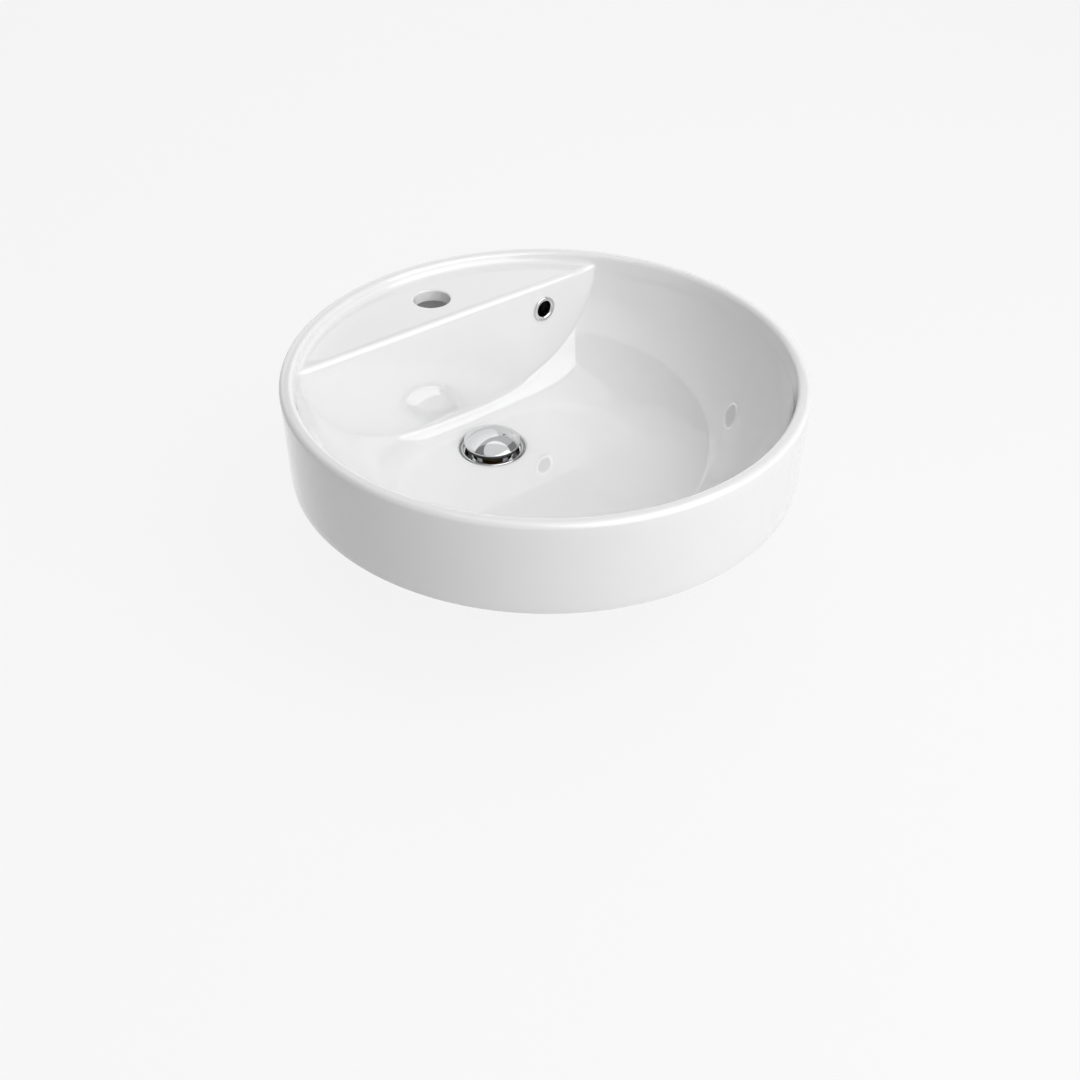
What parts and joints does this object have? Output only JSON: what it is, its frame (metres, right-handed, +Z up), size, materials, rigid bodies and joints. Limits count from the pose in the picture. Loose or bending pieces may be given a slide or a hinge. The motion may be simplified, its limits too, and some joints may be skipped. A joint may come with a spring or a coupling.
{
  "type": "inset basin",
  "caption": "Round ceramic basin that stands proud of a counter cut-out, with a tap shelf, an overflow and a push-button waste.",
  "frame": {"origin": "centre of the round foot that rests on the counter, in the plane of the counter top", "axes": "+Z up, +Y towards the tap hole and the wall, +X to the right of a person standing at the basin"},
  "size_m": [0.45, 0.4498, 0.2218],
  "materials": {
    "glazed_ceramic": "gloss",
    "sealing_foam": "matte",
    "chrome_trim": "polished",
    "chrome_waste": "polished",
    "chrome_cap": "polished",
    "black_rubber": "matte",
    "white_seal": "matte",
    "white_plastic": "satin",
    "raw_brass": "satin",
    "spring_steel": "satin"
  },
  "bodies": {
    "basin": {"basin_body": "glazed_ceramic", "counter_seal": "sealing_foam", "overflow_ring": "chrome_trim", "overflow_grip": "black_rubber", "waste_body": "chrome_waste", "flange_seal": "white_seal", "cone_seal": "black_rubber", "slip_washer": "white_plastic", "back_nut": "raw_brass", "cartridge_barrel": "raw_brass", "cartridge_bush": "white_plastic", "bush_circlip": "spring_steel", "cartridge_spring": "spring_steel"},
    "plug": {"plug_cap": "chrome_cap", "cap_stud": "raw_brass", "plug_seal": "black_rubber", "seal_retainer": "white_plastic", "plunger": "raw_brass", "spring_washer": "spring_steel"},
    "rotor": {"latch_rotor": "white_plastic"}
  },
  "joints": [
    {"name": "plug_slide", "type": "slide", "parent": "basin", "child": "plug", "axis": [0, 0, 1], "range_m": [-0.006, 0], "stiffness_N_per_m": 500, "springref_m": 0.012, "deforming": ["cartridge_spring"]},
    {"name": "rotor_turn", "type": "hinge", "parent": "plug", "child": "rotor", "pos_m": [0, 0.0795, -0.068], "axis": [0, 0, 1], "range_deg": [0, 45]}
  ],
  "couplings": [
    {"joint": "rotor_turn", "follows": "plug_slide", "rad_per_m": -130.89}
  ]
}
